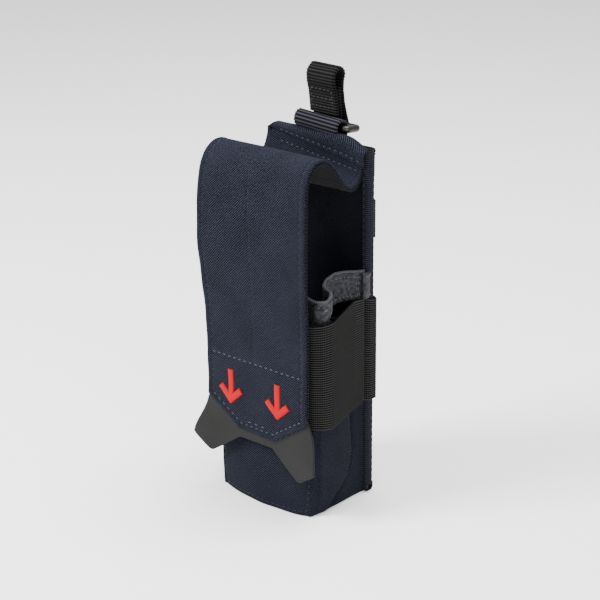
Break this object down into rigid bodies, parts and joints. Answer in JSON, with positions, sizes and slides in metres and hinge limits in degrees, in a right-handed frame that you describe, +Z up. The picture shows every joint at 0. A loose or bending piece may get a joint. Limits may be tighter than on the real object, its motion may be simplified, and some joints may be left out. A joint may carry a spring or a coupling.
{
  "type": "flap-top belt pouch",
  "caption": "Flap-top fabric pouch for a folded tourniquet, with an elastic band, a winged pull tab and a carry ring.",
  "frame": {"origin": "centre of the bounding box, on the surface that the pouch stands on", "axes": "+Z up along the back panel, +Y out of the rear that faces the wearer, -Y towards the flap's front, +X to the right seen from the front"},
  "size_m": [0.0794, 0.0602, 0.2077],
  "materials": {
    "navy_cloth": "matte woven cloth",
    "navy_webbing": "ribbed woven tape",
    "black_webbing": "heavy woven webbing",
    "ribbed_elastic": "ribbed knitted elastic",
    "slate_trim": "smooth woven trim",
    "hook_and_loop": "hook and loop pile",
    "coated_sheet": "matte coated fabric",
    "plastic_sheet": "plain sheet",
    "red_thread": "satin stitch",
    "ring_metal": "satin"
  },
  "bodies": {
    "pouch": {"back_panel_face": "navy_cloth", "back_stiffener": "plastic_sheet", "back_panel_rear": "navy_cloth", "side_binding_left": "navy_webbing", "side_binding_right": "navy_webbing", "foot_binding": "navy_webbing", "top_hem": "navy_cloth", "pocket_front": "navy_cloth", "front_trim": "slate_trim", "pocket_floor": "navy_cloth", "side_wall_left": "navy_cloth", "side_wall_right": "navy_cloth", "mouth_trim_left": "slate_trim", "mouth_trim_right": "slate_trim", "retention_elastic": "ribbed_elastic", "loop_patch": "hook_and_loop", "flap_sewn_edge_outer": "navy_cloth", "flap_sewn_edge_lining": "navy_cloth", "mounting_strap_left": "black_webbing", "mounting_strap_right": "black_webbing", "strap_keeper": "black_webbing", "ring_keeper": "navy_webbing"},
    "flap_root": {"flap_root_outer": "navy_cloth", "flap_root_lining": "navy_cloth"},
    "flap_front": {"flap_front_outer": "navy_cloth", "flap_front_lining": "navy_cloth", "hook_patch": "hook_and_loop", "embroidered_arrow_left": "red_thread", "embroidered_arrow_right": "red_thread", "pull_tab_root": "coated_sheet"},
    "tab_wings": {"pull_tab_wings": "coated_sheet"},
    "strap_end_left": {"strap_end_left": "black_webbing"},
    "strap_end_right": {"strap_end_right": "black_webbing"},
    "ring": {"ring": "ring_metal"},
    "pull_strap": {"pull_strap": "black_webbing"}
  },
  "joints": [
    {"name": "flap_lift", "type": "hinge", "parent": "pouch", "child": "flap_root", "pos_m": [0, 0.01302, 0.1687], "axis": [-1, 0, 0], "range_deg": [0, 60]},
    {"name": "flap_fold", "type": "hinge", "parent": "flap_root", "child": "flap_front", "pos_m": [0, -0.01863, 0.17585], "axis": [-1, 0, 0], "range_deg": [0, 115]},
    {"name": "tab_flex", "type": "hinge", "parent": "flap_front", "child": "tab_wings", "pos_m": [0, -0.02783, 0.0362], "axis": [-1, 0, 0], "range_deg": [0, 60], "stiffness_Nm_per_rad": 0.01},
    {"name": "strap_end_left_bend", "type": "hinge", "parent": "pouch", "child": "strap_end_left", "pos_m": [-0.016, 0.02102, 0.15], "axis": [-1, 0, 0], "range_deg": [0, 60], "stiffness_Nm_per_rad": 0.01},
    {"name": "strap_end_right_bend", "type": "hinge", "parent": "pouch", "child": "strap_end_right", "pos_m": [0.016, 0.02102, 0.15], "axis": [-1, 0, 0], "range_deg": [0, 60], "stiffness_Nm_per_rad": 0.01},
    {"name": "ring_swing", "type": "hinge", "parent": "pouch", "child": "ring", "pos_m": [0.001, 0.01842, 0.1805], "axis": [1, 0, 0], "range_deg": [-15, 80]},
    {"name": "pull_strap_swing", "type": "hinge", "parent": "ring", "child": "pull_strap", "pos_m": [0, 0.02678, 0.17962], "axis": [-1, 0, 0], "range_deg": [-12, 95]}
  ]
}
